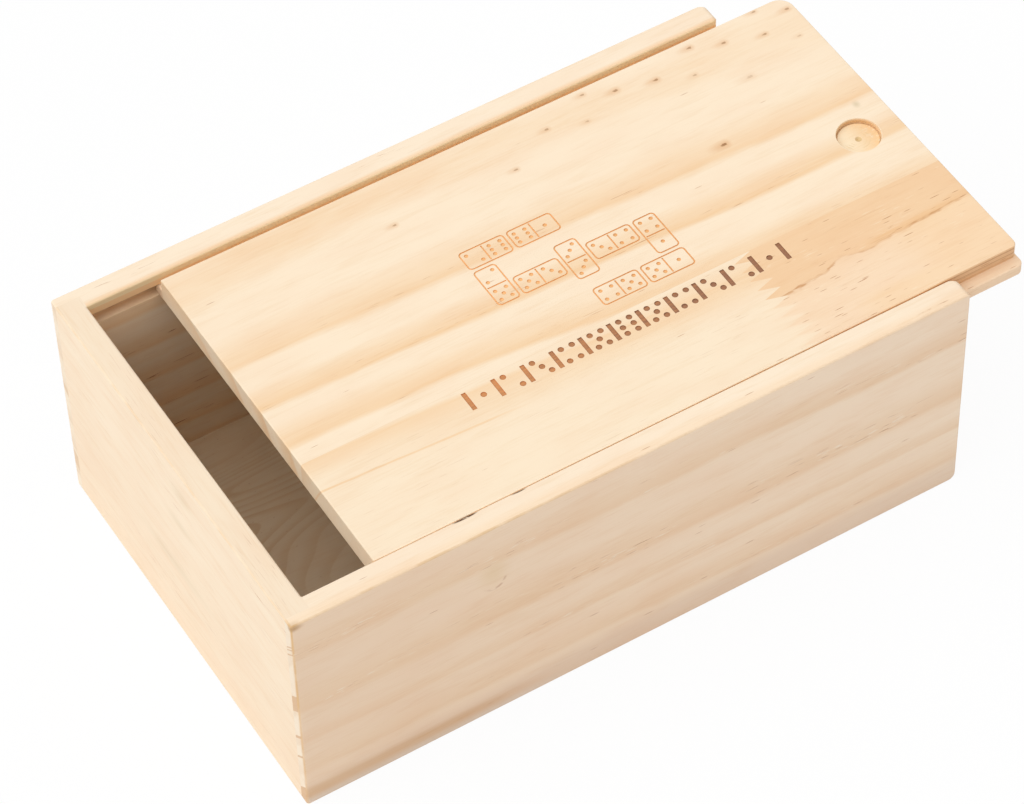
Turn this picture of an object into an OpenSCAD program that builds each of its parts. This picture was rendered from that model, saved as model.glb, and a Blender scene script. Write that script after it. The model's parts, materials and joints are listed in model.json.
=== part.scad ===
// Wooden storage box with a sliding lid, for a large set of dominoes.
// Two long sides are rabbeted over two end boards, a plywood bottom is let in flush, and
// the lid's tongues run in grooves that leave the case over its lower, open end.
// Millimetres. The origin is the middle of the case on the surface it stands on; +X points
// to the end where the lid comes out, +Y to the back and +Z up.

/* [Case] */
// Outside length of the case, the way the lid slides
case_length = 200; // [120:1:320]
// Outside width of the case
case_width = 125; // [80:1:200]
// Outside height of the case
case_height = 74; // [45:1:120]
// Thickness of the two long sides
side_thickness = 7; // [6:0.5:12]
// Thickness of the two end boards
end_thickness = 7; // [6:0.5:12]

/* [Corner joints] */
// Depth of the rabbets in the sides that the end boards are glued into
rabbet_depth = 4; // [2:0.5:5]

/* [Bottom] */
// Thickness of the plywood bottom
bottom_thickness = 4; // [2.5:0.5:8]
// How far the bottom reaches under each of the four boards
bottom_reach = 3; // [2:0.5:4]
// Gap between the edge of the bottom and its rebate
bottom_gap = 0.2; // [0.1:0.1:0.5]

/* [Lid] */
// Thickness of the lid board
lid_thickness = 7.5; // [6:0.1:12]
// Thickness of the tongue along each long edge of the lid
tongue_thickness = 3.3; // [2:0.1:4]
// How far each tongue stands out from the lid's upper edge
tongue_width = 3.4; // [2:0.1:4.5]
// Clearance over and under a tongue in its groove
tongue_clearance = 0.3; // [0.2:0.1:0.6]
// Room between a tongue's tip and the back of its groove, with the lid against that side
tip_clearance = 0.6; // [0.4:0.1:1]
// Gap between the lid and the front side
front_gap = 0.5; // [0.4:0.1:2.5]
// Gap between the lid and the back side
back_gap = 2.1; // [0.4:0.1:2.5]
// Gap between the closed lid and the closed end
closed_gap = 0.3; // [0.2:0.1:1]
// How far the lid is slid open
lid_open = 20; // [0:1:100]

/* [Finger recess] */
// Diameter of the shallow finger hole in the lid
recess_diameter = 12.2; // [8:0.2:25]
// Depth of the finger hole
recess_depth = 2; // [1:0.1:4]
// Distance from the lid's outer end to the middle of the finger hole
recess_setback = 12.6; // [10:0.2:40]
// Diameter of the mark left by the point of the drill
spur_diameter = 2; // [0.8:0.1:3]
// Depth of the mark left by the point of the drill
spur_depth = 0.7; // [0.4:0.1:1.2]
// Width of the ring that the drill's rim scores round the floor of the finger hole
rim_width = 0.5; // [0.3:0.1:1]
// Depth of that ring below the floor
rim_depth = 0.4; // [0.2:0.1:1]

/* [Rounded edges] */
// Radius of the case's outer edges
edge_round = 0.5; // [0.3:0.1:2.5]
// Radius of the sides' upper and lower corners at the open end
open_end_round = 1.5; // [1:0.5:6]
// Radius of the inner corners of the sides' lips at the open end, seen from above
lip_corner_round = 1.2; // [0.5:0.1:2]
// Radius of the inner top edges of the case
inner_round = 0.5; // [0.2:0.1:1.5]
// Radius of the lid's two outer corners, seen from above
lid_corner_round = 2; // [1:0.5:12]
// Radius of the tongues' outer corners, seen from above
tongue_corner_round = 2; // [1:0.5:6]
// Radius of the lid's top edges
lid_round = 0.4; // [0.2:0.1:1.5]
// Radius of the tongues' long edges and of the open end board's top edges
tongue_round = 0.4; // [0.2:0.1:0.8]

/* [Hidden] */

// The two ends and the two sides of the case, outside and inside
half_length = case_length / 2;
half_width = case_width / 2;
inner_half_width = half_width - side_thickness;
closed_inner_x = -half_length + end_thickness;
open_inner_x = half_length - end_thickness;
// An end board reaches to the bottom of the rabbet in each side
end_half_width = inner_half_width + rabbet_depth;

// The lid lies flush with the top of the case, and its grooves fit round its tongues
lid_underside = case_height - lid_thickness;
shoulder_height = lid_underside + tongue_thickness;
groove_floor = lid_underside - tongue_clearance;
groove_ceiling = shoulder_height + tongue_clearance;
groove_back = inner_half_width + tongue_width + tip_clearance;
lip_height = case_height - groove_ceiling;

// The lid where it rests, and its upper edges between the sides
lid_length = case_length - end_thickness - closed_gap;
lid_inner_x = closed_inner_x + closed_gap + lid_open;
lid_outer_x = lid_inner_x + lid_length;
lid_front_y = -inner_half_width + front_gap;
lid_back_y = inner_half_width - back_gap;
recess_x = lid_outer_x - recess_setback;
recess_y = (lid_front_y + lid_back_y) / 2;

// Half the size of the opening under the case that the bottom is let into
rebate_half_length = open_inner_x + bottom_reach;
rebate_half_width = inner_half_width + bottom_reach;

// How far a cut runs past the face that it opens on
spill = 1;
pine = [0.95, 0.85, 0.69];
pale_pine = [0.97, 0.89, 0.75];
plywood = [0.88, 0.76, 0.58];
$fn = 64;

// A box from one corner to the opposite one
module block(low, high) {
    translate(low) cube(high - low);
}

// Extrudes along X: the outline's x becomes Y and its y becomes Z
module along_x(from, to) {
    translate([from, 0, 0]) rotate([90, 0, 90]) linear_extrude(to - from) children();
}

// Extrudes along Y, on both sides of the middle: the outline's y becomes Z
module across_y(length) {
    rotate([90, 0, 0]) linear_extrude(length, center = true) children();
}

// What a quarter round takes off a corner at the origin, on wood that lies towards +X, +Y
module corner_waste(radius) {
    difference() {
        translate([-spill, -spill]) square(radius + spill);
        translate([radius, radius]) circle(radius);
    }
}

// A rectangle with rounded corners: its two left ones take the first radius, its two
// right ones the second
module rounded_rectangle(low, high, left_radius, right_radius) {
    difference() {
        translate(low) square(high - low);
        for (up = [0, 1]) {
            translate([low.x, up ? high.y : low.y]) mirror([0, up])
                corner_waste(left_radius);
            translate([high.x, up ? high.y : low.y]) mirror([1, 0]) mirror([0, up])
                corner_waste(right_radius);
        }
    }
}

// The outside of the case, rounded over after the boards are glued
module case_outline() {
    intersection() {
        across_y(case_width + 2 * spill)
            rounded_rectangle([-half_length, 0], [half_length, case_height],
                              edge_round, open_end_round);
        along_x(-half_length - spill, half_length + spill)
            rounded_rectangle([-half_width, 0], [half_width, case_height],
                              edge_round, edge_round);
        translate([0, 0, -spill]) linear_extrude(case_height + 2 * spill)
            rounded_rectangle([-half_length, -half_width], [half_length, half_width],
                              edge_round, edge_round);
    }
}

// The step round the underside of the case that the bottom lies in
module bottom_rebate() {
    block([-rebate_half_length, -rebate_half_width, -spill],
          [rebate_half_length, rebate_half_width, bottom_thickness]);
}

// The rabbet for the closed end runs the full height of the side
module closed_end_rabbet() {
    block([-half_length - spill, -end_half_width, -spill],
          [closed_inner_x, end_half_width, case_height + spill]);
}

// The rabbet for the open end stops at the lid groove, so the lip above it stays whole
module open_end_rabbet() {
    block([open_inner_x, -end_half_width, -spill],
          [half_length + spill, end_half_width, groove_floor]);
}

// Both lid grooves at once: they start at the closed end and run out over the open one
module lid_grooves() {
    block([closed_inner_x, -groove_back, groove_floor],
          [half_length + spill, groove_back, groove_ceiling]);
}

// The front side board: the back one is its mirror image
module side_board() {
    difference() {
        intersection() {
            case_outline();
            block([-half_length - spill, -half_width - spill, -spill],
                  [half_length + spill, -inner_half_width, case_height + spill]);
        }
        closed_end_rabbet();
        open_end_rabbet();
        lid_grooves();
        bottom_rebate();
        translate([0, -inner_half_width, case_height])
            mirror([0, 1, 0]) mirror([0, 0, 1])
                along_x(closed_inner_x, half_length + spill) corner_waste(inner_round);
        translate([half_length, -inner_half_width, groove_ceiling]) mirror([1, 0, 0])
            mirror([0, 1, 0]) linear_extrude(lip_height + spill)
                corner_waste(lip_corner_round);
    }
}

module front_side() {
    color(pine) side_board();
}

module back_side() {
    color(pine) mirror([0, 1, 0]) side_board();
}

// Full-height end board, glued between the lips of the two sides
module closed_end() {
    color(pale_pine) difference() {
        intersection() {
            case_outline();
            block([-half_length - spill, -end_half_width, -spill],
                  [closed_inner_x, end_half_width, case_height + spill]);
        }
        bottom_rebate();
        translate([closed_inner_x, 0, case_height]) mirror([1, 0, 0]) mirror([0, 0, 1])
            across_y(2 * inner_half_width) corner_waste(inner_round);
    }
}

// Lower end board, level with the floor of the grooves so that the lid passes over it
module open_end() {
    color(pale_pine) difference() {
        intersection() {
            case_outline();
            block([open_inner_x, -end_half_width, -spill],
                  [half_length + spill, end_half_width, groove_floor]);
        }
        bottom_rebate();
        for (outer = [0, 1])
            translate([outer ? half_length : open_inner_x, 0, groove_floor])
                mirror([outer, 0, 0]) mirror([0, 0, 1])
                    across_y(2 * inner_half_width) corner_waste(tongue_round);
    }
}

// Plywood let into the rebate, level with the lower edges of the boards
module bottom_panel() {
    color(plywood)
        block([-rebate_half_length + bottom_gap, -rebate_half_width + bottom_gap, 0],
              [rebate_half_length - bottom_gap, rebate_half_width - bottom_gap,
               bottom_thickness]);
}

// What a quarter round takes off the top edge of a slab, all the way round it, with the
// top at z = 0; the slab's two right corners are rounded in plan
module rim_waste(low, high, corner_radius, radius) {
    middle = (low + high) / 2;
    for (side = [0, 1])
        translate([0, side ? high.y : low.y, 0]) mirror([0, side, 0]) mirror([0, 0, 1])
            along_x(low.x - spill, high.x - corner_radius) corner_waste(radius);
    translate([low.x, middle.y, 0]) mirror([0, 0, 1])
        across_y(high.y - low.y + 2 * spill) corner_waste(radius);
    translate([high.x, middle.y, 0]) mirror([1, 0, 0]) mirror([0, 0, 1])
        across_y(high.y - low.y - 2 * corner_radius) corner_waste(radius);
    for (side = [0, 1])
        translate([high.x - corner_radius, middle.y, 0]) mirror([0, side, 0])
            translate([0, (high.y - low.y) / 2 - corner_radius, 0])
                rotate_extrude(angle = 90)
                    translate([corner_radius, 0]) mirror([1, 0]) mirror([0, 1])
                        corner_waste(radius);
}

// The lid's lower layer, whose long edges are the tongues
module tongue_layer() {
    low = [lid_inner_x, lid_front_y - tongue_width];
    high = [lid_outer_x, lid_back_y + tongue_width];
    difference() {
        translate([0, 0, lid_underside]) linear_extrude(tongue_thickness)
            difference() {
                translate(low) square(high - low);
                for (side = [0, 1])
                    translate([high.x, side ? high.y : low.y]) mirror([1, 0])
                        mirror([0, side]) corner_waste(tongue_corner_round);
            }
        translate([0, 0, shoulder_height])
            rim_waste(low, high, tongue_corner_round, tongue_round);
        translate([0, 0, lid_underside]) mirror([0, 0, 1])
            rim_waste(low, high, tongue_corner_round, tongue_round);
    }
}

// The lid's upper layer, which fills the opening between the sides
module upper_layer() {
    low = [lid_inner_x, lid_front_y];
    high = [lid_outer_x, lid_back_y];
    difference() {
        translate([0, 0, shoulder_height]) linear_extrude(lid_thickness - tongue_thickness)
            difference() {
                translate(low) square(high - low);
                for (side = [0, 1])
                    translate([high.x, side ? high.y : low.y]) mirror([1, 0])
                        mirror([0, side]) corner_waste(lid_corner_round);
            }
        translate([0, 0, case_height]) rim_waste(low, high, lid_corner_round, lid_round);
    }
}

// The shallow hole that a finger pushes the lid by, with the marks of the drill's rim and
// point in its floor
module finger_recess() {
    translate([recess_x, recess_y, case_height - recess_depth]) {
        cylinder(h = recess_depth + spill, d = recess_diameter);
        translate([0, 0, -rim_depth]) difference() {
            cylinder(h = rim_depth + spill, d = recess_diameter);
            translate([0, 0, -spill])
                cylinder(h = rim_depth + 3 * spill, d = recess_diameter - 2 * rim_width);
        }
        translate([0, 0, -spur_depth])
            cylinder(h = spur_depth, d1 = spur_diameter / 4, d2 = spur_diameter);
    }
}

module lid() {
    color(pine) difference() {
        union() {
            tongue_layer();
            upper_layer();
        }
        finger_recess();
    }
}

front_side();
back_side();
closed_end();
open_end();
bottom_panel();
lid();
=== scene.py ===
import json
import math

import bmesh
import bpy
from mathutils import Matrix, Vector

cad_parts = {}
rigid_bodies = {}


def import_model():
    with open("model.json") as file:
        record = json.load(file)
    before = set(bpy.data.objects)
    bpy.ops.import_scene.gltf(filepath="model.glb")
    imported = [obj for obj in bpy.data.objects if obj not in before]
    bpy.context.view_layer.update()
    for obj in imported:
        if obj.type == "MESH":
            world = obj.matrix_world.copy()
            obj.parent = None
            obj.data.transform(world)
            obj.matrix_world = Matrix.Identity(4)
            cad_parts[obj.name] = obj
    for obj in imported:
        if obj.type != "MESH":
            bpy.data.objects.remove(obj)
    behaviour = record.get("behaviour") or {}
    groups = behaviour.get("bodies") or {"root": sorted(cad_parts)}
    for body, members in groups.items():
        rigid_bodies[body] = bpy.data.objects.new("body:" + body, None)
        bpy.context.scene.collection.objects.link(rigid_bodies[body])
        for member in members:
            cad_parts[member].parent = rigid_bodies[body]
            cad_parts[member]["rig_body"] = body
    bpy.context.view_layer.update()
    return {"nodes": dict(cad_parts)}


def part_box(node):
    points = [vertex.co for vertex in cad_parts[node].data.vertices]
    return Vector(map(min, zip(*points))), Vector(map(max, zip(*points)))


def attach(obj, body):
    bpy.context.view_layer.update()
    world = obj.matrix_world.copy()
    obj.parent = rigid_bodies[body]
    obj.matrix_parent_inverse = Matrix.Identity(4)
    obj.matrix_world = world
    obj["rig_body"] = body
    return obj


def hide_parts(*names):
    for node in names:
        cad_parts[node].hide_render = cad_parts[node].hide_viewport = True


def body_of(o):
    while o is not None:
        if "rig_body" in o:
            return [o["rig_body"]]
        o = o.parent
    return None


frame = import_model()
nodes = frame["nodes"]
MM = 0.001


# ---- The two end boards ----
# Short boards of plain pine, cut from the pale outer wood, so their rings are fine and
# faint. The grain runs across the box. Both are planed, sanded and left without any
# varnish, and their ends are glued into rabbets in the long sides.

class Value:
    """A shader socket: sums, products and so on of values add Math nodes to the material."""

    def __init__(self, tree, socket):
        self.tree, self.socket = tree, socket

    def node(self, kind, settings, inputs, output=0):
        """Any other node. Its settings are set first, then its inputs get numbers or links."""
        made = self.tree.nodes.new(kind)
        for name, setting in settings.items():
            setattr(made, name, setting)
        for name, value in inputs.items():
            if isinstance(value, Value):
                self.tree.links.new(value.socket, made.inputs[name])
            else:
                made.inputs[name].default_value = value
        return Value(self.tree, made.outputs[output] if made.outputs else None)

    def other(self, output):
        """Another output of the node that this value comes from."""
        return Value(self.tree, self.socket.node.outputs[output])

    def maths(self, operation, *others):
        """A Math node of this value and, where the operation takes them, others."""
        return self.node("ShaderNodeMath", {"operation": operation},
                         dict(enumerate((self, *others))))

    def __add__(self, other):
        return self.maths("ADD", other)

    def __sub__(self, other):
        return self.maths("SUBTRACT", other)

    def __rsub__(self, other):
        return self.node("ShaderNodeMath", {"operation": "SUBTRACT"}, {0: other, 1: self})

    def __mul__(self, other):
        return self.maths("MULTIPLY", other)

    def __truediv__(self, other):
        return self.maths("DIVIDE", other)

    __radd__, __rmul__ = __add__, __mul__


def colour(red, green, blue):
    """A colour given by its screen levels, 0 to 255, as the shader wants it."""
    levels = [level / 255 for level in (red, green, blue)]
    return tuple(v / 12.92 if v <= 0.04045 else ((v + 0.055) / 1.055) ** 2.4
                 for v in levels) + (1,)


def new_material(name):
    """A material with an empty tree, and the object coordinates in it, in millimetres."""
    material = bpy.data.materials.new(name)
    material.use_nodes = True
    tree = material.node_tree
    tree.nodes.clear()
    metres = Value(tree, tree.nodes.new("ShaderNodeTexCoord").outputs["Object"])
    return material, vector(metres, "SCALE", {"Scale": 1 / MM})


def vector(point, operation, inputs):
    """A Vector Math node of the point and its other inputs."""
    return point.node("ShaderNodeVectorMath", {"operation": operation}, {0: point, **inputs})


def parts(point):
    """The x, y and z of a vector."""
    split = point.node("ShaderNodeSeparateXYZ", {}, {0: point})
    return split, split.other("Y"), split.other("Z")


def joined(x, y, z):
    """The vector of three values, of which at least one comes from a socket."""
    known = next(value for value in (x, y, z) if isinstance(value, Value))
    return known.node("ShaderNodeCombineXYZ", {}, {0: x, 1: y, 2: z})


def distance(along, across):
    """How far off a point is, from how far off it is each way."""
    return vector(joined(along, across, 0.0), "LENGTH", {}).other("Value")


def in_cells(point, size, seed):
    """The point with a cell of this size, in millimetres, made one unit, and moved by a seed."""
    small = vector(point, "DIVIDE", {1: size})
    return vector(small, "ADD", {1: (7.3 * seed, 3.1 * seed, 5.7 * seed)})


def noise(point, size, seed, detail=2.0):
    """Soft noise from about -0.5 to 0.5, with patches of this size in millimetres."""
    cloud = point.node("ShaderNodeTexNoise", {}, {
        "Vector": in_cells(point, size, seed), "Scale": 1.0, "Detail": detail})
    return cloud - 0.5


def smooth(value, low, high):
    """0 at low and 1 at high, with soft ends; low may be the larger."""
    return value.node("ShaderNodeMapRange", {"interpolation_type": "SMOOTHSTEP"}, {
        "Value": value, "From Min": low, "From Max": high})


def mix(first, second, share, blend="MIX"):
    """Two colours mixed: all of the second where the share is 1."""
    return share.node("ShaderNodeMix", {"data_type": "RGBA", "blend_type": blend},
                      {0: share, 6: first, 7: second}, output=2)


def ring_radius(grain, heart, drift, waves, seed):
    """How far each point lies from the heart of the tree, which runs nearly along the grain."""
    along, across, up = parts(grain)
    side = across - (along * drift[0] + heart[0])
    rise = up - (along * drift[1] + heart[1])
    radius = (side * side + rise * rise).maths("SQRT")
    slow, quick, ragged = waves
    radius = radius + noise(grain, (70, 26, 26), seed, 1.0) * slow
    radius = radius + noise(grain, (16, 4, 4), seed + 1, 3.0) * quick
    return radius + noise(grain, (5, 0.5, 0.5), seed + 2) * ragged


# One ring from its start at 0 to its end at 1: pale early wood, then late wood that
# darkens outwards and stops short
RING = ((0.0, 0.0), (0.35, 0.0), (0.60, 0.55), (0.78, 0.80), (0.88, 1.0), (1.0, 0.0))


def grey_ramp(value, stops):
    """The grey level at a value, from 0 to 1. Each stop is a value and its level."""
    made = value.tree.nodes.new("ShaderNodeValToRGB")
    elements = made.color_ramp.elements
    for place, level in stops[2:]:
        elements.new(place)
    for element, (place, level) in zip(elements, stops):
        element.position, element.color = place, (level, level, level, 1)
    value.tree.links.new(value.socket, made.inputs[0])
    return Value(value.tree, made.outputs[0])


def even_rings(radius, start, width):
    """How dark the wood is, 0 to 1, where the rings are all of one width."""
    return grey_ramp(((radius - start) / width).maths("FRACT"), RING)


def resin_strokes(grain, tone, everywhere, seed):
    """Resin canals cut open along the grain: fine strokes, most where late wood ends."""
    strokes = smooth(noise(grain, (7, 0.3, 0.3), seed, 1.0), 0.15, 0.22)
    clusters = smooth(noise(grain, (30, 6, 6), seed + 1, 1.0), -0.02, 0.10)
    late = smooth(tone, 0.4, 0.8)
    return strokes * clusters * (late * (1 - everywhere) + everywhere)


def spot(along, across, middle, size):
    """1 at the middle, falling softly to 0 at this size either way."""
    apart = distance((along - middle[0]) / size[0], (across - middle[1]) / size[1])
    return smooth(apart, 1.0, 0.0)


def arris(place, width, seed):
    """1 on the outer edges of the case, broken here and there, where sanding wore them round."""
    reaches = []
    for value, first, last in zip(parts(place), case_low, case_high):
        middle, half = (first + last) / 2, (last - first) / 2
        reaches.append(half - (value - middle).maths("ABSOLUTE"))
    first, second, third = reaches
    lesser = first.maths("MINIMUM", second)
    greater = first.maths("MAXIMUM", second)
    edge = lesser.maths("MAXIMUM", greater.maths("MINIMUM", third))
    broken = smooth(noise(place, (9, 9, 9), seed), -0.12, 0.08)
    return smooth(edge, width, width * 0.4) * (broken * 0.7 + 0.3)


def sanded(material, grain, base, dark_marks, seed, streaks=0.36):
    """Finishes bare pine: fibres and cloudy patches in its colour, then sheen and surface."""
    fibres = noise(grain, (8, 0.4, 0.4), seed, 3.0)
    strands = noise(grain, (18, 2.4, 2.4), seed + 3)
    patches = noise(grain, (24, 9, 9), seed + 6, 3.0)
    base = mix(base, PATCH_SHADE, smooth(patches, -0.15, 0.25) * 0.7, "MULTIPLY")
    base = mix(base, FIBRE_SHADE, smooth(fibres + strands, -0.1, 0.4) * streaks, "MULTIPLY")
    base = mix(base, TICK_SHADE, dark_marks)
    rough = fibres * 0.12 + 0.56
    relief = grain.node("ShaderNodeBump", {}, {
        "Height": fibres, "Strength": 0.35, "Distance": 0.06 * MM})
    surface = grain.node("ShaderNodeBsdfPrincipled", {}, {
        "Base Color": base, "Roughness": rough, "Normal": relief, "IOR": 1.4,
        "Specular IOR Level": 0.35})
    grain.node("ShaderNodeOutputMaterial", {}, {"Surface": surface})
    return material


def new_piece(name, shape, finishes):
    """An object made of a bmesh, which is used up."""
    mesh = bpy.data.meshes.new(name)
    shape.to_mesh(mesh)
    shape.free()
    for finish in finishes:
        mesh.materials.append(finish)
    piece = bpy.data.objects.new(name, mesh)
    bpy.context.scene.collection.objects.link(piece)
    return piece


def merged_copy(node):
    """The mesh of a piece as it was built, with its loose triangles joined."""
    shape = bmesh.new()
    shape.from_mesh(nodes[node].data)
    bmesh.ops.remove_doubles(shape, verts=shape.verts, dist=0.001 * MM)
    for face in shape.faces:
        face.material_index = 0
    return shape


def carve(piece, tool, operation):
    """Cuts a piece with a tool, which is used up, or joins the two with UNION.

    Both list the same finishes.
    """
    cut = piece.modifiers.new("cut", "BOOLEAN")
    cut.operation, cut.solver, cut.object = operation, "EXACT", tool
    cut.material_mode = "INDEX"
    bpy.context.view_layer.update()
    finished = bpy.data.meshes.new_from_object(
        piece.evaluated_get(bpy.context.evaluated_depsgraph_get()))
    piece.modifiers.clear()
    piece.data = finished
    bpy.data.objects.remove(tool)


def stand_for(piece, node):
    """The piece takes the place of one that was built, on its body."""
    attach(piece, body_of(nodes[node])[0])
    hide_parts(node)


def plain_block(low, high):
    """A sharp-edged block between two corners, drawn in millimetres."""
    shape = bmesh.new()
    bmesh.ops.create_cube(shape, size=1, matrix=Matrix.Translation((low + high) / 2)
                          @ Matrix.Diagonal((*(high - low), 1)))
    return shape


def round_edges(shape, edges, radius, segments):
    """Gives edges of a shape a radius, in its own units."""
    bmesh.ops.bevel(shape, geom=edges, offset=radius, offset_type="OFFSET",
                    segments=segments, profile=0.5, affect="EDGES", material=-1)


def in_metres(shape):
    """Scales a shape that was drawn in millimetres, and turns its faces outwards."""
    bmesh.ops.scale(shape, verts=shape.verts, vec=(MM, MM, MM))
    bmesh.ops.recalc_face_normals(shape, faces=shape.faces)
    return shape


def sanded_block(low, high, uprights):
    """A block with its edges rounded over, and the radius of each upright one."""
    low, high = low - Vector((skin,) * 3), high + Vector((skin,) * 3)
    shape = plain_block(low, high)
    corners = ((low.x, low.y), (high.x, low.y), (high.x, high.y), (low.x, high.y))
    for corner, radius in zip(corners, uprights):
        upright = [edge for edge in shape.edges
                   if all((end.co.xy - Vector(corner)).length < hair for end in edge.verts)]
        round_edges(shape, upright, radius, 9)
    outline = [edge for edge in shape.edges
               if abs(edge.verts[0].co.z - edge.verts[1].co.z) < hair]
    round_edges(shape, outline, case_round, 6)
    return in_metres(shape)


def foot_block():
    """A larger block than the case, well rounded along its foot at the open end."""
    low, high = case_low - Vector((1, 1, skin)), case_high + Vector((skin, 1, 1))
    shape = plain_block(low, high)
    foot = [edge for edge in shape.edges
            if all(abs(end.co.x - high.x) + abs(end.co.z - low.z) < hair for end in edge.verts)]
    round_edges(shape, foot, foot_round, 10)
    return in_metres(shape)


def sanded_board(node, material, low, high, uprights):
    """A board as it was built, with its outer edges sanded rounder inside two blocks'."""
    board = new_piece(node + "_board", merged_copy(node), (material,))
    for block in (foot_block(), sanded_block(low, high, uprights)):
        carve(board, new_piece("block", block, (material,)), "INTERSECT")
    stand_for(board, node)


case_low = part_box("front_side")[0] / MM
case_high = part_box("back_side")[1] / MM
# How round the outline, the uprights and the foot at the open end are sanded
case_round, upright_round, foot_round = 0.55, 0.8, 3.4
# The blocks are larger than the case by a skin, which keeps its flat faces as they were.
# Points closer than a hair count as one place
skin, hair = 0.005, 0.01

PATCH_SHADE = colour(253, 248, 245)
FIBRE_SHADE = colour(243, 230, 212)
TICK_SHADE = colour(184, 128, 84)
ARRIS_SHADE = colour(226, 184, 126)

end_light = colour(251, 231, 204)
end_low = colour(248, 226, 198)
end_band = colour(247, 222, 192)
end_grey = colour(234, 213, 182)
# Grey streaks in the boards: the middle of each, and how far it reaches across and up
closed_end_streaks = (((2, 29), (28, 3.5)), ((-3, 51), (11, 3)), ((-6, 65), (9, 4)))
open_end_streaks = (((10, 20), (20, 3)),)


def end_board(name, grey_streaks, seed):
    """An end board: its pine, a little darker towards the foot, on the board as built."""
    material, place = new_material(name + "_pine")
    x, y, z = parts(place)
    grain = joined(y, x, z)
    radius = ring_radius(grain, (-60, 130), (0.02, -0.03), (9.0, 1.2, 0.3), seed)
    tone = even_rings(radius, 0.0, 9.5)
    tone = tone * smooth(noise(grain, (50, 14, 14), seed + 3), -0.15, 0.2)
    base = mix(mix(end_light, end_low, smooth(z, 60.0, 20.0)), end_band, tone * 0.5)
    for middle, size in grey_streaks:
        base = mix(base, end_grey, spot(y, z, middle, size) * 0.5)
    base = mix(base, ARRIS_SHADE, arris(place, 0.6, seed + 4) * 0.3)
    marks = resin_strokes(grain, tone, 0.3, seed + 5) * 0.6
    sanded(material, grain, base, marks, seed)
    sanded_board(name, material, case_low, case_high, (upright_round,) * 4)


end_board("closed_end", closed_end_streaks, 3)
end_board("open_end", open_end_streaks, 8)


# ---- The two long sides ----
# Longer boards of pine with broad, quiet bands, cut clear of the heart so that the rings
# cross the face in long lines. They are rabbeted over the end boards and glued, then
# their outer edges are rounded over.

def own_rings(radius, low, high, rings):
    """How dark the wood is, from a few rings: where each ends, how wide and how dark."""
    stops = [((end - (1 - share) * width - low) / (high - low), level * dark)
             for end, width, dark in rings for share, level in RING[1:]]
    return grey_ramp((radius - low) / (high - low), stops)


def resin_ticks(grain, cell, thickness, share, seed):
    """Resin canals cut open along the grain: short dark strokes, in a share of the cells."""
    cells = grain.node("ShaderNodeTexVoronoi", {"feature": "F1"}, {
        "Vector": in_cells(grain, cell, seed), "Scale": 1.0})
    chance = grain.node("ShaderNodeSeparateColor", {}, {0: cells.other("Color")})
    return smooth(cells, thickness, thickness * 0.5) * chance.maths("LESS_THAN", share)


def near(value, middle, far, close):
    """1 within the close distance of the middle, and 0 beyond the far one."""
    return smooth((value - middle).maths("ABSOLUTE"), far, close)


def stained(height, places):
    """1 in bands across the end grain: each has the middle and the half height given."""
    stains = 0.0
    for middle, half in places:
        stains = near(height, middle, half + 0.3, half).maths("MAXIMUM", stains)
    return stains


def end_grain(place, direction):
    """1 on the faces where the fibres come out, 0 on those that they run along."""
    tree = place.tree
    facing = Value(tree, tree.nodes.new("ShaderNodeTexCoord").outputs["Normal"])
    straight = vector(facing, "DOT_PRODUCT", {1: direction}).other("Value")
    return smooth(straight.maths("ABSOLUTE"), 0.75, 0.95)


def on_top(z):
    """1 on the top edge of a board, and 0 on its faces."""
    return smooth(z, case_high.z - 0.7, case_high.z - 0.2)


def over_groove(y, z, inner_y, outwards):
    """1 on a side's inner face, from the groove that holds the lid up to the rail."""
    return smooth(y, inner_y + outwards * 0.3, inner_y + outwards * 0.1) * smooth(z, 68.0, 70.0)


def at_closed_end(x):
    """1 on the half of the case that has its closed end, and 0 on the other."""
    return smooth(x, 0.0, -1.0)


# The inner faces of the two long sides
front_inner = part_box("front_side")[1].y / MM
back_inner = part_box("back_side")[0].y / MM


PINE_LIGHT = colour(255, 236, 210)
PINE_BAND = colour(247, 209, 163)
front_light = colour(251, 230, 205)
front_left = colour(246, 220, 192)
front_band = colour(243, 213, 180)
front_dark = colour(236, 202, 164)
# Painted shade near the table, and a painted reflection of the table along the bottom edge
painted_foot_shade = colour(246, 244, 245)
foot_table_reflection = colour(240, 232, 222)
# Painted shade in the gap over the lid, on the front side
gap_shade_tan = colour(251, 205, 143)
rail_edge = colour(254, 229, 198)
# Painted shade on the back rail: low in the gap, higher up, and on its inner edge
rail_gap_shade = colour(255, 211, 157)
rail_gap_paler = colour(255, 231, 186)
rail_edge_shade = colour(250, 208, 160)
eye_shade = colour(238, 211, 174)
end_pale = colour(246, 229, 206)
end_mark = colour(222, 186, 148)
dark_corner_tint = colour(196, 156, 108)
torn_pale = colour(255, 246, 232)
pitch_brown = colour(92, 62, 36)
# Stains across the end grain at the closed end. They slope down towards the inside. The middle
# and the half height of each are those at this distance from the middle of the case
stain_y, stain_slope = 61, 0.87
front_stains = ((64.6, 0.1), (63.5, 0.1), (61.6, 0.15), (41.5, 3.0), (27.7, 0.4), (19.3, 0.25),
                (2.5, 3.6))
back_stains = ((12, 3.0), (41, 1.2))
# Where each ring on the front board ends, how wide and how dark it is
front_rings = ((100.7, 6.0, 1.0), (112.2, 10.3, 1.0), (119.5, 5.8, 0.8), (128.3, 9.7, 0.75),
               (140.0, 12.0, 0.5))
eye_x, eye_z, eye_rim = -43.3, 53.6, 3.4
long_pocket, short_pocket = (-47.0, -55.9), (-31.5, -55.9)
crack_x, crack_y = 89.0, -61.05
dark_corner_place = (-99.2, 73.0)


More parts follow.
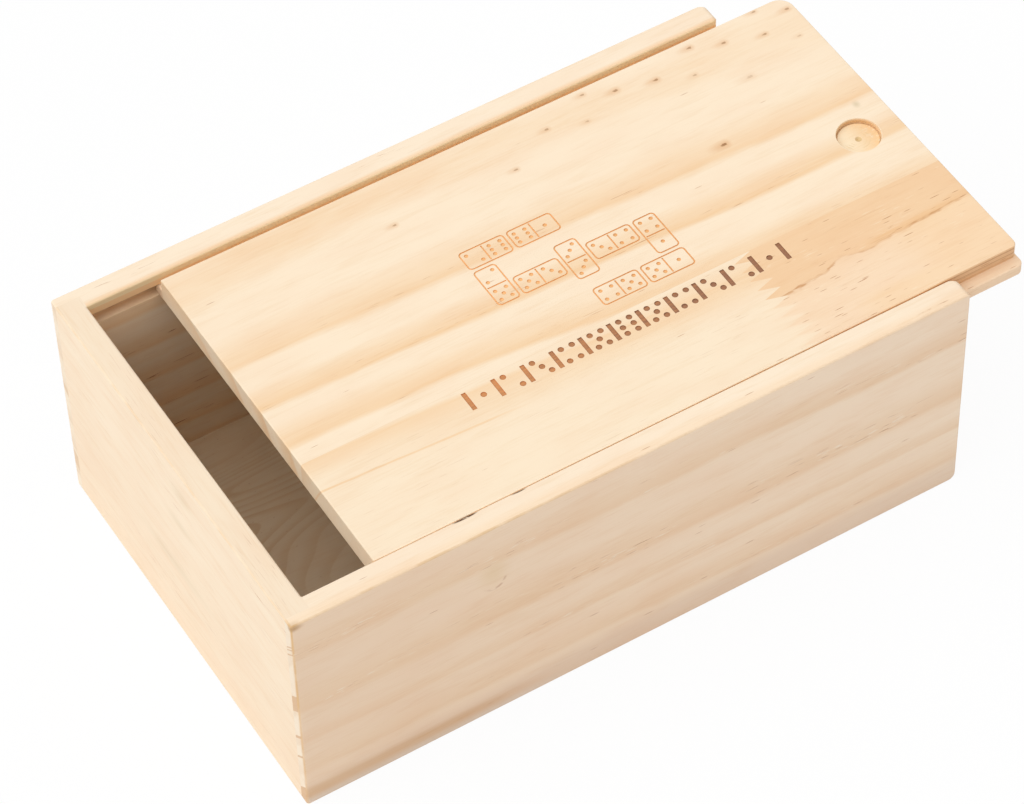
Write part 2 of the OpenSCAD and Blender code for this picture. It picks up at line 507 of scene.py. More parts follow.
def front_wood(grain, radius, tone, across):
    """The front board's rail, its face with the rings, and its stained end grain."""
    x, y, z = parts(grain)
    top = on_top(z)
    outside = smooth(y, case_low.y + 1.5, case_low.y + 0.5)
    # The face is a little darker and pinker than the rail's top: painted shade, as the face gets
    # little of the lamp
    face = mix(front_left, front_light, smooth(x, -115.0, 115.0))
    rail = mix(PINE_LIGHT, rail_edge, smooth(y, case_low.y + 4.0, case_low.y + 1.0))
    base = mix(mix(face, rail, top), front_band, tone * (1 - top))

    # The foot is darker at the left. Painted shade darkens the outer face towards the table, and
    # a painted reflection of the white table makes its bottom edge paler and greyer
    foot = smooth(z, 10.5, 7.5) * smooth(x, -20.0, -55.0)
    base = mix(base, front_dark, foot * smooth(radius, 131.0, 133.0))
    base = mix(base, painted_foot_shade, smooth(z, 11.0, 5.0) * outside, "MULTIPLY")
    reflected_light = smooth(z, 4.0, 0.8) * outside * smooth(x, -15.0, -45.0)
    base = mix(base, foot_table_reflection, reflected_light * 0.55)

    stains = stained(z + (y + stain_y) * stain_slope, front_stains) * at_closed_end(x)
    return mix(base, mix(end_pale, end_mark, stains.maths("MAXIMUM", tone * 0.3)), across)


def knot_eye(base, grain):
    """A pin knot just under the front board's face, which the grain runs round."""
    x, y, z = parts(grain)
    base = mix(base, eye_shade, spot(x, z, (eye_x, eye_z + 2.9), (6.5, 7.5)) * 0.7)
    rim = near(distance(x - eye_x, z - eye_z), eye_rim, 0.6, 0.1)
    rim = rim * smooth(z, eye_z + 0.8, eye_z - 1.2)
    rim = rim * smooth(noise(grain, (1.6, 2, 1.0), 15), -0.1, 0.15)
    rim = rim * smooth(y, case_low.y + 0.5, case_low.y + 0.2)
    return mix(base, TICK_SHADE, rim * smooth(x, eye_x - 3.7, eye_x + 0.3) * 0.45)


def front_wear(base, grain):
    """Painted warm shade on the front board's inner face over the lid, its sanded edges and its
    darker corner.
    """
    x, y, z = parts(grain)
    # Painted warm shade in the narrow gap between the lid and the side, where the lid lies under
    # the rail
    base = mix(base, gap_shade_tan, over_groove(y, z, front_inner, -1) * smooth(x, -76.0, -73.0))
    base = mix(base, ARRIS_SHADE, arris(grain, 0.7, 14) * (smooth(x, 60.0, -90.0) * 0.5 + 0.12))
    upright = smooth(x, case_low.x + 2.5, case_low.x + 1.0)
    upright = upright * smooth(y, case_low.y + 2.0, case_low.y + 1.0)
    base = mix(base, ARRIS_SHADE, upright * arris(grain, 0.55, 19) * 0.45)
    # A darker brown patch at the top of the front left corner
    dark_patch = spot(x, z, dark_corner_place, (3.6, 1.7))
    dark_patch = dark_patch * smooth(y, case_low.y + 2.0, case_low.y + 0.7)
    return mix(base, dark_corner_tint, dark_patch * 0.85)


def front_faults(base, grain, tone):
    """Torn fibres on the front board's face, and pockets of pitch and a crack in its rail."""
    x, y, z = parts(grain)
    top = on_top(z)
    late = smooth(tone, 0.4, 0.8) * (1 - top)
    torn = smooth(noise(grain, (4, 0.4, 0.4), 17, 1.0), 0.12, 0.2)
    torn = torn * smooth(noise(grain, (30, 6, 6), 13, 1.0), -0.02, 0.10) * late
    base = mix(base, torn_pale, torn * 0.5)

    pitch = spot(x, y, long_pocket, (5.4, 0.6)).maths(
        "MAXIMUM", spot(x, y, short_pocket, (3.8, 0.4)) * 0.7)
    pitch = smooth(pitch, 0.1, 0.6) * smooth(z, case_high.z - 1.2, case_high.z - 0.8)
    base = mix(base, pitch_brown, pitch * smooth(noise(grain, (1.5, 0.3, 1), 18), -0.3, 0.0))

    crack = near(y, crack_y, 0.25, 0.08) * near(x, crack_x, 5.5, 3.0)
    crack = crack * smooth(noise(grain, (3, 1, 1), 36), -0.2, 0.1)
    return mix(base, TICK_SHADE, crack * top * 0.7)


def front_side_pine():
    """The front side's finish: its wood, then its knot, its wear and its faults."""
    material, grain = new_material("front_side_pine")
    x = parts(grain)[0]
    radius = ring_radius(grain, (29, 100), (0.0, -0.022), (1.4, 0.8, 0.35), 11)
    tone = own_rings(radius, 88, 150, front_rings)
    across = end_grain(grain, (1, 0, 0))
    base = front_wood(grain, radius, tone, across)
    base = knot_eye(base, grain)
    base = front_wear(base, grain)
    base = front_faults(base, grain, tone)
    strokes = resin_strokes(grain, tone, 0.08, 12) * (smooth(x, -80.0, -50.0) * 0.6 + 0.4)
    ticks = resin_ticks(grain, (16, 1.2, 1.2), 0.12, 0.12, 13)
    marks = strokes.maths("MAXIMUM", ticks * 0.7) * (1 - across)
    return sanded(material, grain, base, marks, 12)


def back_side_pine():
    """The back side's finish: its wood, and painted warm shade on its rail's inner edge and on
    the wall over the lid.
    """
    material, grain = new_material("back_side_pine")
    x, y, z = parts(grain)
    radius = ring_radius(grain, (8, 96), (0.0, -0.025), (2.5, 0.8, 0.35), 21)
    tone = even_rings(radius, 3.0, 9.5)
    across = end_grain(grain, (1, 0, 0))
    top = on_top(z)
    base = mix(PINE_LIGHT, PINE_BAND, tone * (1 - top) * 0.7)
    # Painted shade on the rounded inner edge of the rail, where it turns down towards the lid
    inner_edge = smooth(y, back_inner + 1.9, back_inner + 0.3)
    inner_edge = inner_edge * smooth(z, case_high.z - 1.2, case_high.z - 0.4)
    base = mix(base, rail_edge_shade, inner_edge * 0.7)
    stains = stained(z - (y - stain_y) * stain_slope, back_stains) * at_closed_end(x)
    base = mix(base, mix(end_pale, end_mark, (stains * 0.6).maths("MAXIMUM", tone * 0.3)), across)

    # Painted shade on the wall over the lid: warm tan low in the gap, paler towards the top
    wall = over_groove(y, z, back_inner, 1)
    paler = smooth(z, case_high.z - 2.1, case_high.z - 1.6)
    base = mix(base, mix(rail_gap_shade, rail_gap_paler, paler), wall * 0.85)
    base = mix(base, ARRIS_SHADE, arris(grain, 0.7, 24) * (0.25 - top * 0.2))
    marks = resin_strokes(grain, tone, 0.12, 22) * (1 - across)
    return sanded(material, grain, base, marks, 22)


def side_board(node, material, uprights):
    """A long side, and how round its uprights are, from the front left one the way about."""
    low, high = (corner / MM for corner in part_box(node))
    sanded_board(node, material, low, high, uprights)


# At the open end the front board's lip was sanded well round, and so was the back board's
# outer corner
lip_round, back_lip_round, far_corner_round = 3.0, 1.5, 2.8
side_board("front_side", front_side_pine(),
           (upright_round, upright_round, lip_round, upright_round))
side_board("back_side", back_side_pine(),
           (upright_round, back_lip_round, far_corner_round, upright_round))


# ---- The plywood bottom ----
# Thin three-ply sheet, its face veneers peeled off the log in one long curl, which gives
# them wide wandering lines. It is let into a rebate under the four boards and glued.

ply_light = colour(245, 222, 190)
ply_line = colour(228, 192, 148)
ply_glue = colour(176, 132, 88)


def bottom_ply():
    """The plywood's finish: the lines of its face veneer, and three plies along its edges."""
    material, place = new_material("bottom_ply")
    z = parts(place)[2]
    low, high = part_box("bottom_panel")
    thickness = (high.z - low.z) / MM

    # The lines of a peeled veneer are the contours of slow waves
    contour = (noise(place, (160, 34, 400), 31, 1.0) * 38).maths("FRACT")
    lines = smooth(contour, 0.3, 0.9) * smooth(contour, 1.0, 0.9)
    clouds = smooth(noise(place, (60, 20, 60), 32), -0.2, 0.2)
    base = mix(ply_light, ply_line, lines * (clouds * 0.4 + 0.2))

    # On the edges the middle ply shows, between its two lines of glue
    height = z / thickness
    middle_ply = smooth(height, 0.30, 0.32) * smooth(height, 0.70, 0.68)
    glue = smooth(middle_ply, 0.0, 0.3) * smooth(middle_ply, 1.0, 0.7)
    base = mix(base, ply_line, middle_ply)
    base = mix(base, ply_glue, glue)
    marks = resin_ticks(place, (3, 0.7, 3), 0.12, 0.25, 33) * 0.5
    return sanded(material, place, base, marks, 33)


panel_finish = nodes["bottom_panel"].data.materials
panel_finish.clear()
panel_finish.append(bottom_ply())


# ---- The sliding lid ----
# Three pieces of pine glued into one board: a wide strip behind, and a narrow one in front
# that is finger-jointed. Tongues are milled along its edges, the finger hole is bored with
# a flat drill, and a laser burns the ornament in.

lid_low, lid_high = (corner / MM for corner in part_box("lid"))
# The edges of the lid's upper part, between the shoulders over its tongues
lid_front, lid_back = -55.0, 53.4
lid_middle_y, lid_half_width = (lid_front + lid_back) / 2, (lid_back - lid_front) / 2
shoulder = 69.8
glue_line_y = -19.7
finger_joint_x, finger_length, finger_pitch = 57.5, 6.0, 3.6
recess_middle = (lid_high.x - 12.6, (lid_low.y + lid_high.y) / 2)
recess_radius = 6.1
recess_depth_built, recess_depth = 2.0, 1.5
recess_floor = lid_high.z - recess_depth
smudge_place = (113.2, 8.9)

recess_pale = colour(255, 234, 200)
recess_tan = colour(248, 211, 162)
recess_wall = colour(252, 226, 186)
recess_shade = colour(234, 192, 140)
scored_ring = colour(226, 190, 146)
scratch_pale = colour(255, 246, 226)
drill_mark = colour(226, 196, 146)
knot_heart = colour(152, 104, 60)
knot_tail = colour(232, 184, 136)
vein_shade = colour(206, 150, 98)
vein_glow = colour(243, 198, 148)
smudge_shade = colour(214, 196, 160)
edge_tan = colour(232, 188, 142)
edge_line = colour(186, 134, 90)
fresh_pale = colour(255, 240, 216)
# Painted shade in the gap inside the case
seam_gap_shade = colour(252, 210, 146)
tongue_tan = colour(248, 219, 187)
wide_light = colour(255, 235, 207)
pale_light, pale_band = colour(254, 234, 205), colour(249, 215, 173)
dark_low, dark_high = colour(252, 223, 190), colour(247, 210, 168)
dark_warm = colour(252, 217, 172)
torn_warm = colour(255, 232, 200)
# Where each ring on the wide piece ends, how wide and how dark it is
wide_piece_rings = ((40.9, 11.3, 0.6), (52.2, 11.3, 0.75), (63.5, 10.5, 0.9), (74.8, 12.6, 0.84),
                    (90.5, 15.6, 0.6))
pale_piece_rings = ((98.4, 11.0, 0.9),)
fine_line_radius = 88.3
# Where each pin knot is, how large and how dark
pin_knots = ((54, 51, 0.34, 0.6), (62.4, 47.6, 0.4, 0.75), (39.4, 45.3, 0.34, 0.6),
             (50, 42, 0.3, 0.4), (73.6, 45.1, 0.4, 0.75), (83.3, 41, 0.33, 0.45),
             (87.6, 50.4, 0.4, 0.7), (96.4, 47, 0.4, 0.7), (107.5, 43.8, 0.36, 0.65),
             (115.1, 38.3, 0.3, 0.35), (109.6, 52.5, 0.34, 0.55), (117.9, 48.6, 0.38, 0.65),
             (25, 37.2, 0.32, 0.6), (95.5, 32.6, 0.5, 0.3), (76, 15.4, 0.5, 0.95),
             (-12, 37.3, 0.32, 0.6))


def wide_tone(grain):
    """How dark the wide piece is: its rings bend in front, and fade in the back corner."""
    x, y, _ = parts(grain)
    radius = ring_radius(grain, (46.4, 34), (-0.031, 0.0), (2.4, 1.1, 0.4), 41)
    radius = radius - smooth(x, -28.0, 42.0) * smooth(y, -6.0, -12.0) * 3.4
    rings = own_rings(radius, 26, 96, wide_piece_rings)
    return rings * (1 - smooth(x, 84.0, 104.0) * smooth(y, 33.0, 38.0) * 0.6)


def pale_tone(grain):
    """How dark the pale piece is: a ring, a broad band by the glue line and one fine line."""
    x, y, _ = parts(grain)
    radius = ring_radius(grain, (-110, 30), (-0.05, 0.0), (0.8, 0.5, 0.3), 45)
    rings = own_rings(radius, 70, 110, pale_piece_rings)
    fine = near(radius, fine_line_radius, 0.45, 0.1) * smooth(x, -8.0, -30.0)
    broad = smooth(y, -36.0, -27.0) * smooth(y, -19.5, -26.0) * smooth(x, -90.0, 30.0)
    return rings.maths("MAXIMUM", fine * 0.9).maths("MAXIMUM", broad * 0.72)


def above_vein(grain):
    """How far a point lies behind the dark piece's vein of resin, which a pin knot lifts."""
    x, y, _ = parts(grain)
    lift = near(x, 79.0, 7.0, 0.0) * 2.0
    vein_y = x * 0.065 + lift + noise(grain, (14, 3, 3), 47) * 2.0 - 41.2
    return y - (vein_y + noise(grain, (3.2, 1.2, 1.2), 62, 1.0) * 1.3)


def front_pieces(x, y):
    """Two masks: all that lies in front of the glue line, and past the finger joint."""
    in_front = smooth(y, glue_line_y + 0.1, glue_line_y - 0.1)
    zigzag = (y / finger_pitch).maths("PINGPONG", 0.5) * (2 * finger_length)
    joint = x - (zigzag + (finger_joint_x - finger_length / 2))
    # Near the lid's front edge the joint is hardly to be seen
    plain = smooth(y, -36.0, -41.0)
    past = smooth(joint, -0.1, 0.1) * (1 - plain * 0.7) + smooth(joint, -6.0, 6.0) * plain * 0.7
    return in_front, past


def lid_wood(grain, wide, in_front, past_joint):
    """The colours of the three pieces, the vein of the dark one, and the glue line."""
    x, y, _ = parts(grain)
    fibres = noise(grain, (18, 0.8, 0.8), 57, 3.0)
    above = above_vein(grain)
    heartwood = smooth(above, -0.6, 0.4) * 0.75 + smooth(above, -8.0, 0.0) * 0.25
    board = mix(wide_light, PINE_BAND, wide * (fibres * 0.6 + 1))
    pale = mix(pale_light, pale_band, pale_tone(grain) * (fibres * 0.6 + 1))
    dark = mix(dark_low, dark_high, heartwood * (fibres * 0.6 + 1))
    warm = smooth(x, 88.0, 104.0).maths("MAXIMUM", smooth(y, -47.0, -51.0) * smooth(x, 70, 82))
    dark = mix(dark, dark_warm, warm * smooth(above, 0.4, -0.6) * 0.45)
    base = mix(board, mix(pale, dark, past_joint), in_front)

    glow = smooth(above, 3.4, 0.8) * smooth(above, -0.9, 0.3) * smooth(x, 82.0, 92.0)
    base = mix(base, vein_glow, glow * past_joint * in_front * (fibres * 0.8 + 0.7))
    vein = smooth(above.maths("ABSOLUTE"), 0.6, 0.1) * smooth(fibres, -0.25, 0.1)
    vein = vein * (smooth(noise(grain, (5, 1.5, 1.5), 59), -0.05, 0.15) * 0.65 + 0.2)
    base = mix(base, vein_shade, vein * past_joint * in_front)
    base = mix(base, knot_tail, near(y, glue_line_y, 0.2, 0.05) * 0.12)
    base = mix(base, smudge_shade, spot(x, y, smudge_place, (1.6, 1.9)) * 0.6)
    torn = smooth(noise(grain, (4, 0.35, 0.35), 64, 1.0), 0.12, 0.2) * past_joint * in_front
    return mix(base, torn_warm, torn * smooth(noise(grain, (16, 7, 7), 65), 0.0, 0.12) * 0.6)


def knotted(base, x, y):
    """Pin knots: a dark heart in each, and the tail that it drags out along the grain."""
    hearts, tails = 0.0, 0.0
    uneven = noise(joined(x, y, 0.0), (0.5, 0.4, 1), 46) * 1.1
    for knot_x, knot_y, size, dark in pin_knots:
        along = x - knot_x
        along = along.maths("MAXIMUM", along * -0.34)
        apart = distance(along, y - knot_y) / size
        hearts = (smooth(apart + uneven, 1.2, 0.6) * dark).maths("MAXIMUM", hearts)
        tails = (smooth(apart + uneven, 4.6, 0.6) * dark).maths("MAXIMUM", tails)
    base = mix(base, knot_tail, tails * 0.7)
    return mix(base, knot_heart, hearts * 0.85)


def milled_edges(base, grain):
    """What the cutters left along the lid: the walls over its shoulders, with painted shade in
    the gap inside the case, and its tongues.
    """
    x, y, z = parts(grain)
    in_case = smooth(x, case_high.x - 2.0, case_high.x - 12.0)
    wall = mix(edge_tan, edge_line, smooth(noise(grain, (30, 4, 0.5), 58), 0.0, 0.2) * 0.5)
    # Brown growth lines run along the wall; the lowest one also stands for painted shadow where
    # the wall meets the tongue
    waves = noise(grain, (20, 3, 3), 66) * 0.3
    lines = smooth(((z - 73.3) * 0.7 + waves + 0.5).maths("PINGPONG", 0.5), 0.34, 0.45)
    wall = mix(wall, edge_line, lines * smooth(waves, -0.08, 0.02) * 0.85)
    # Inside the case the wall is painted in the warm shade of the gap between the lid and the
    # side
    wall = mix(wall, seam_gap_shade, in_case * 0.8)
    wall = mix(wall, fresh_pale, smooth(y, 0.0, 1.0))
    tone = mix(tongue_tan, wall, smooth(z, shoulder, shoulder + 0.3))

    # Inside the case the front wall keeps the colour of the face along its top, above the painted
    # shade of the gap
    milled = smooth((y - lid_middle_y).maths("ABSOLUTE"), lid_half_width - 0.15,
                    lid_half_width - 0.05)
    unshaded_top = smooth(z, lid_high.z - 0.65, lid_high.z - 0.4)
    milled = milled * (1 - in_case * smooth(y, 0.0, -1.0) * unshaded_top)
    return mix(base, tone, milled * 0.85)


def bored(base, grain):
    """The finger hole: its wall with painted shade and light, and the scorched ring and point of
    the drill.
    """
    x, y, z = parts(grain)
    from_x, from_y = x - recess_middle[0], y - recess_middle[1]
    reach = distance(from_x, from_y)
    inside = smooth(reach, recess_radius + 0.2, recess_radius + 0.05)
    inside = inside * smooth(z, shoulder - 1.8, shoulder - 0.8)
    floor = mix(recess_pale, recess_tan, smooth(from_x, -4.0, 5.0))
    scratches = smooth(noise(grain, (1.8, 0.4, 2.0), 49, 1.0), 0.1, 0.2)
    floor = mix(floor, scratch_pale, scratches * smooth(from_x, 1.5, 5.0) * 0.8)
    arcs = (reach * 1.1 + noise(grain, (3, 3, 3), 67)).maths("PINGPONG", 0.5)
    arcs = smooth(arcs, 0.3, 0.45) * smooth(reach, 1.5, 2.5)
    arcs = arcs * smooth(noise(grain, (3, 2, 3), 68), 0.0, 0.15)
    floor = mix(floor, drill_mark, arcs * 0.5)
    base = mix(base, floor, inside)

    # Painted shade darkens the wall towards the back of the hole, and painted light makes it
    # paler up by the rim
    wall = smooth(reach, recess_radius - 0.2, recess_radius)
    wall = wall * smooth(z, recess_floor, recess_floor + 0.2)
    towards = (from_x * 0.5 + from_y * 0.87) / recess_radius
    shade = mix(recess_wall, recess_shade, smooth(towards, 0.3, 1.0))
    shade = mix(shade, wide_light, smooth(z, lid_high.z - 0.9, lid_high.z - 0.1) * 0.8)
    base = mix(base, shade, inside * wall)

    below_floor = inside * smooth(z, recess_floor - 0.02, recess_floor - 0.15)
    at_rim = smooth(reach, recess_radius * 0.6, recess_radius * 0.7)
    base = mix(base, drill_mark, below_floor * (1 - at_rim))
    return mix(base, scored_ring, below_floor * at_rim)


def lid_resin(grain, wide, in_front, past_joint):
    """Fine strokes and a few ticks all over the lid, and crowds of ticks in its dark piece."""
    strokes = resin_strokes(grain, wide * (1 - in_front) + in_front * 0.5, 0.08, 53) * 0.8
    crowd = smooth(noise(grain, (20, 9, 9), 51, 1.0), -0.16, 0.0) * past_joint * in_front
    short = resin_ticks(grain, (7, 0.7, 0.7), 0.2, 0.5, 52) * crowd * 0.75
    long = resin_ticks(grain, (15, 1.0, 1.0), 0.13, 0.4, 56) * crowd
    few = resin_ticks(grain, (16, 1.3, 1.3), 0.1, 0.12, 54) * 0.7
    return strokes.maths("MAXIMUM", few).maths("MAXIMUM", short).maths("MAXIMUM", long)


def lid_pine():
    """The lid's finish: its three pieces, its knots, and what the milling and the drill left."""
    material, grain = new_material("lid_pine")
    x, y, _ = parts(grain)
    wide = wide_tone(grain)
    in_front, past_joint = front_pieces(x, y)
    base = lid_wood(grain, wide, in_front, past_joint)
    base = knotted(base, x, y)
    base = milled_edges(base, grain)
    base = bored(base, grain)
    marks = lid_resin(grain, wide, in_front, past_joint) * 0.85
    return sanded(material, grain, base, marks, 55, 0.28)


line_pale, line_dark = colour(248, 198, 138), colour(236, 182, 120)
burnt_pale, burnt_dark = colour(214, 146, 90), colour(158, 110, 80)


def scorched(name, first, second, from_x, to_x):
    """Wood that the laser has burnt, darker along the lid, in stripes with the fibres."""
    material, grain = new_material(name)
    x = parts(grain)[0]
    fibres = noise(grain, (8, 0.5, 0.5), 61, 3.0)
    patches = noise(grain, (18, 8, 8), 63, 1.0)
    share = smooth(x, from_x, to_x) + fibres * 1.5 + patches * 0.8
    surface = grain.node("ShaderNodeBsdfPrincipled", {}, {
        "Base Color": mix(first, second, share), "Roughness": fibres * 0.1 + 0.75})
    grain.node("ShaderNodeOutputMaterial", {}, {"Surface": surface})
    return material


# The ornament is plain dominoes laid end to end, with a band of pips under them. It is
# drawn as flat shapes on the lid, which become cutters. Each shape is given the number
# of its finish: 1 is a scorched line, 2 is the burnt band
LINE, BAND = 1, 2
tile_length, tile_width, tile_gap, tile_round = 13.6, 6.8, 0.8, 1.2
line_width, small_pip, pip_spread = 0.42, 1.15, 0.24
chain_middle = (21.5, 2.0)
band_middle, band_height = (20.5, -24.4), 6.2
bar_width, bar_pitch, pip = 1.3, 8.6, 1.7
cut_depth, cutter_height = 0.25, 1.0
# Where the pips of 1 to 6 stand, in a square of side 2 round the middle
PIPS = {1: ((0, 0),), 2: ((-1, 1), (1, -1)), 3: ((-1, 1), (0, 0), (1, -1)),
        4: ((-1, -1), (-1, 1), (1, -1), (1, 1)),
        5: ((-1, -1), (-1, 1), (0, 0), (1, -1), (1, 1)),
        6: ((-1, -1), (-1, 0), (-1, 1), (1, -1), (1, 0), (1, 1))}


def given_finish(corners, finish):
    """Gives the faces at these corners a finish, and gives the corners back."""
    for corner in corners:
        for face in corner.link_faces:
            face.material_index = finish
    return corners


def flat_disc(design, place, width, finish):
    """Draws a round pip, and gives its corners back."""
    made = bmesh.ops.create_circle(design, cap_ends=True, segments=20, radius=width / 2,
                                   matrix=place)
    return given_finish(made["verts"], finish)


def flat_bar(design, place, length, width, finish):
    """Draws a rectangle, and gives its corners back."""
    made = bmesh.ops.create_grid(design, x_segments=1, y_segments=1, size=0.5,
                                 matrix=place @ Matrix.Diagonal((length, width, 1, 1)))
    return given_finish(made["verts"], finish)


def tile(design, place, pips):
    """A domino in outline: its rounded edge, its middle line and the pips of both halves."""
    corners = flat_bar(design, place, tile_length, tile_width, LINE)
    rounded = bmesh.ops.bevel(design, geom=corners, offset=tile_round, offset_type="OFFSET",
                              segments=5, profile=0.5, affect="VERTICES", material=-1)
    slab = [face for face in design.faces if face.is_valid
            and any(corner in rounded["verts"] for corner in face.verts)]
    bmesh.ops.inset_region(design, faces=slab, thickness=line_width, use_boundary=True,
                           use_even_offset=True)
    bmesh.ops.delete(design, geom=slab, context="FACES")
    flat_bar(design, place, line_width, tile_width - 3 * line_width, LINE)
    spread = tile_width * pip_spread
    for half, count in zip((-1, 1), pips):
        for step_x, step_y in PIPS[count]:
            at = (half * tile_length / 4 + step_x * spread, step_y * spread, 0)
            flat_disc(design, place @ Matrix.Translation(at), small_pip, LINE)


def chain(design, top):
    """Nine dominoes in the turns of a game: three across, then up, down and back again."""
    reach = tile_length + tile_gap
    turn = (tile_width + tile_length) / 2 + tile_gap
    rise = (tile_length - tile_width) / 2
    far = 2 * turn
    laid = [((0, 0), 90, (3, 3)), ((-turn, 0), 0, (5, 3)), ((turn, 0), 0, (3, 4)),
            ((-far, rise), 90, (5, 2)), ((far, -rise), 90, (1, 4))]
    row = rise + turn
    for step, pips in enumerate(((2, 6), (6, 1))):
        laid.append(((-far + rise + reach * step, row), 0, pips))
    for step, pips in enumerate(((1, 5), (5, 4))):
        laid.append(((far - rise - reach * step, -row), 180, pips))
    for (x, y), angle, pips in laid:
        place = Matrix.Translation((chain_middle[0] + x, chain_middle[1] + y, top))
        tile(design, place @ Matrix.Rotation(math.radians(angle), 4, "Z"), pips)


def pip_band(design, top):
    """A row of bars with one to six pips between them, up and down again."""
    counts = (1, 2, 3, 4, 5, 6, 5, 4, 3, 2, 1)
    start = band_middle[0] - bar_pitch * len(counts) / 2
    for step in range(len(counts) + 1):
        place = Matrix.Translation((start + bar_pitch * step, band_middle[1], top))
        flat_bar(design, place, bar_width, band_height, BAND)
    rise = (band_height - pip) / 2
    aside = rise * 0.72
    for step, count in enumerate(counts):
        middle = start + bar_pitch * (step + 0.5)
        for step_x, step_y in PIPS[count]:
            at = (middle + step_x * aside, band_middle[1] + step_y * rise, top)
            flat_disc(design, Matrix.Translation(at), pip, BAND)


def ornament_cutter():
    """All the flat shapes, given depth: they start over the lid and end below its face."""
    design = bmesh.new()
    top = lid_high.z + cutter_height
    chain(design, top)
    pip_band(design, top)
    made = bmesh.ops.extrude_face_region(design, geom=design.faces[:])
    below = [part for part in made["geom"] if isinstance(part, bmesh.types.BMVert)]
    bmesh.ops.translate(design, verts=below, vec=(0, 0, -cutter_height - cut_depth))
    return in_metres(design)


# How round the lid's outer corners were built, and how much rounder its back one is
corner_round, corner_more = 2.0, 2.5
# How much closer to the side the lid's front edge lies, at its two ends, than it was built,
# and how far behind the edge the wood gives way to it
closer_left, closer_right, closer_reach = 0.40, 0.14, 5
# How far the shoulders stop short of the lid's ends, and the top of the strip that fills this
notch_depth, strip_rise, strip_drop = 0.4, 0.3, 0.6


def above_shoulder(place):
    """Whether a point of the lid is over its shoulders, and not on its tongues."""
    past = Vector((max(place.x - lid_high.x + corner_round, 0),
                   max(abs(place.y - lid_middle_y) - lid_half_width + corner_round, 0)))
    return place.z > shoulder + hair or (
        place.z > shoulder - notch_depth - hair and past.length < corner_round + hair)


def round_back_corner(place, corner_y):
    """Moves a point on the lid's back corner in, to a rounder corner that ends at corner_y."""
    out = Vector((place.x - lid_high.x + corner_round, place.y - corner_y + corner_round))
    if min(out) > -0.001 and out.length > 0.5 * corner_round:
        out = out.normalized() * (out.length + corner_more)
        place.x = lid_high.x - corner_round - corner_more + out.x
        place.y = corner_y - corner_round - corner_more + out.y


def widen_in_front(place):
    """Moves a point near the lid's front edge closer to the side."""
    along = (lid_high.x - place.x) / (lid_high.x - lid_low.x)
    nearness = min(max((lid_front + closer_reach - place.y) / closer_reach, 0), 1)
    place.y -= nearness * (closer_right + (closer_left - closer_right) * along)


def worn_lid():
    """The lid as it was built, with a rounder back corner, a wider front and a shallower hole."""
    shape = merged_copy("lid")
    shallower = recess_depth / recess_depth_built
    for vertex in shape.verts:
        place = vertex.co / MM
        upper = above_shoulder(place)
        round_back_corner(place, lid_back if upper else lid_high.y)
        if upper:
            widen_in_front(place)
        in_recess = (place.xy - Vector(recess_middle)).length < recess_radius + 0.3
        if in_recess and place.z > shoulder:
            place.z = lid_high.z - (lid_high.z - place.z) * shallower
        vertex.co = place * MM
    return shape


def end_strip(end_x, way, back_y):
    """Wood that makes an end of the lid one flat face, from its tongues up to its top."""
    near_x, far_x = sorted((end_x + way * 0.001, end_x + way))
    low = Vector((near_x, lid_front + corner_round, shoulder - strip_drop))
    high = Vector((far_x, back_y, shoulder + strip_rise))
    return in_metres(plain_block(low, high))


def engraved_lid():
    """The worn lid, with its ends made flat and the ornament cut into its face."""
    finishes = (lid_pine(), scorched("scorched_line", line_pale, line_dark, -40, 80),
                scorched("burnt_band", burnt_pale, burnt_dark, -40, 60))
    lid = new_piece("sliding_lid", worn_lid(), finishes)
    for end_x, way, back_y in ((lid_low.x, 1, lid_back),
                               (lid_high.x, -1, lid_back - corner_round - corner_more)):
        carve(lid, new_piece("strip", end_strip(end_x, way, back_y), finishes), "UNION")
    carve(lid, new_piece("ornament", ornament_cutter(), finishes), "DIFFERENCE")
    stand_for(lid, "lid")


engraved_lid()


# ---- The table, the light and the camera ----
# A plain white table under the box, even light from all round and one wide soft lamp
# from the upper left.

floor_size, floor_gap = 6.0, 0.05 * MM
table_white = (0.94, 0.94, 0.94, 1)
# How much of the table the camera sees as plain white: the rest keeps the box's shadow
table_glow = 0.94
sky_level = 0.62
sky_tint = (1.0, 0.95, 0.925, 1)
lamp_tint = (1.0, 1.085, 1.13)
lamp_level = 1.42
lamp_towards = Vector((-0.52, 0.06, 0.80))
lamp_spread = math.radians(70)


def seen_directly(value):
    """1 for the camera's own rays and for rays seen in or through a surface."""
    rays = value.node("ShaderNodeLightPath", {}, {})
    glossy = rays.other("Is Glossy Ray")
    clear = rays.other("Is Transmission Ray")
    return rays.maths("MAXIMUM", glossy.maths("MAXIMUM", clear))


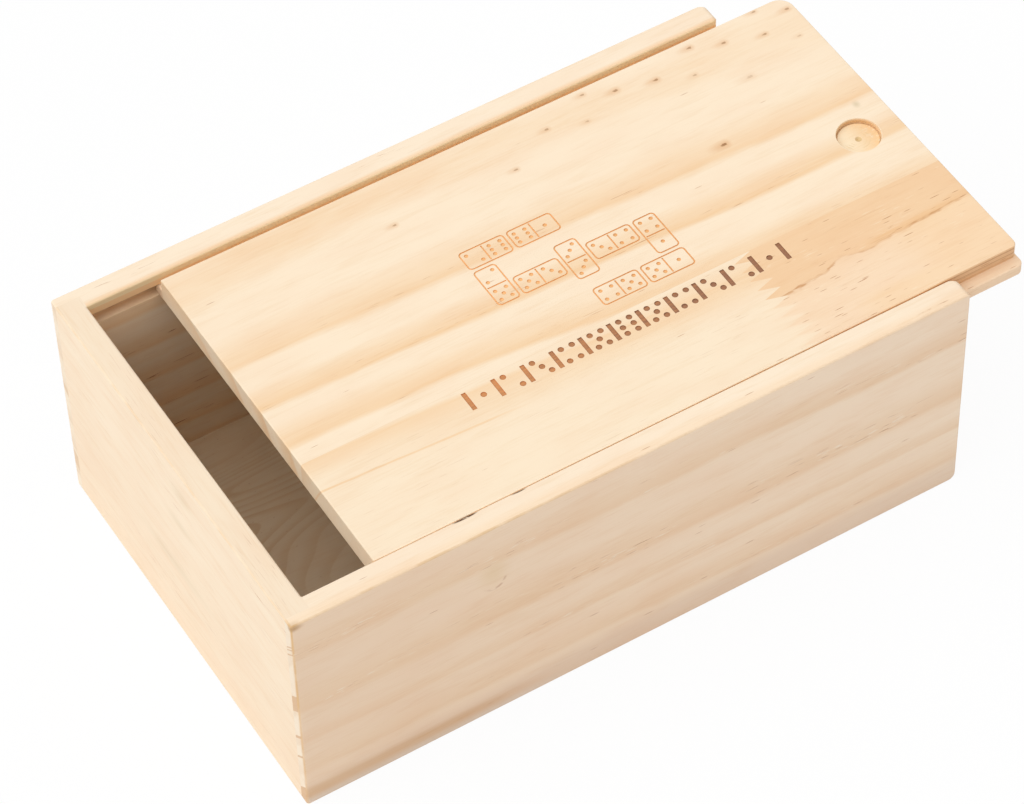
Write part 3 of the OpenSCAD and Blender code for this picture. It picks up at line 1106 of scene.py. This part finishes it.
def table():
    """A white sheet just under the box, which glows only where the camera looks at it."""
    shape = bmesh.new()
    bmesh.ops.create_grid(shape, x_segments=1, y_segments=1, size=floor_size / 2,
                          matrix=Matrix.Translation((0, 0, -floor_gap)))
    material, place = new_material("white_table")
    matt = place.node("ShaderNodeBsdfDiffuse", {}, {"Color": table_white})
    glow = place.node("ShaderNodeEmission", {}, {"Color": (1, 1, 1, 1), "Strength": 1.0})
    shown = place.node("ShaderNodeMixShader", {}, {
        0: seen_directly(place) * table_glow, 1: matt, 2: glow})
    place.node("ShaderNodeOutputMaterial", {}, {"Surface": shown})
    new_piece("table", shape, (material,))


def light():
    """Even light from a white sky, and one wide lamp that makes the box's soft shadow."""
    world = bpy.data.worlds.new("studio")
    bpy.context.scene.world = world
    world.use_nodes = True
    world.node_tree.nodes.clear()
    start = Value(world.node_tree, world.node_tree.nodes.new("ShaderNodeTexCoord").outputs[0])
    around = start.node("ShaderNodeBackground", {}, {"Color": sky_tint, "Strength": sky_level})
    page = start.node("ShaderNodeBackground", {}, {"Color": (1, 1, 1, 1), "Strength": 1.0})
    shown = start.node("ShaderNodeMixShader", {}, {0: seen_directly(start), 1: around, 2: page})
    start.node("ShaderNodeOutputWorld", {}, {"Surface": shown})

    lamp = bpy.data.lights.new("soft_lamp", "SUN")
    lamp.energy, lamp.angle, lamp.color = lamp_level, lamp_spread, lamp_tint
    holder = bpy.data.objects.new("soft_lamp", lamp)
    holder.rotation_mode = "QUATERNION"
    holder.rotation_quaternion = lamp_towards.to_track_quat("Z", "Y")
    bpy.context.scene.collection.objects.link(holder)


table()
light()

# The camera looks down on the box from its front left corner, tilted a little
camera_azimuth = math.radians(-29.98)
camera_elevation = math.radians(49.76)
camera_roll = math.radians(-1.907)
camera_distance = 1158.8 * MM
camera_target = Vector((-0.31, 0, 32.62)) * MM
camera_lens = 154.9

back = Vector((math.sin(camera_azimuth) * math.cos(camera_elevation),
               -math.cos(camera_azimuth) * math.cos(camera_elevation),
               math.sin(camera_elevation)))
right = Vector((math.cos(camera_azimuth), math.sin(camera_azimuth), 0))
up = back.cross(right)
rolled_right = right * math.cos(camera_roll) + up * math.sin(camera_roll)
rolled_up = up * math.cos(camera_roll) - right * math.sin(camera_roll)
camera = bpy.data.objects.new("camera", bpy.data.cameras.new("camera"))
camera.data.lens = camera_lens
camera.matrix_world = Matrix.LocRotScale(
    camera_target + back * camera_distance,
    Matrix((rolled_right, rolled_up, back)).transposed(), None)
bpy.context.scene.collection.objects.link(camera)
bpy.context.scene.camera = camera
bpy.context.scene.view_settings.view_transform = "Standard"
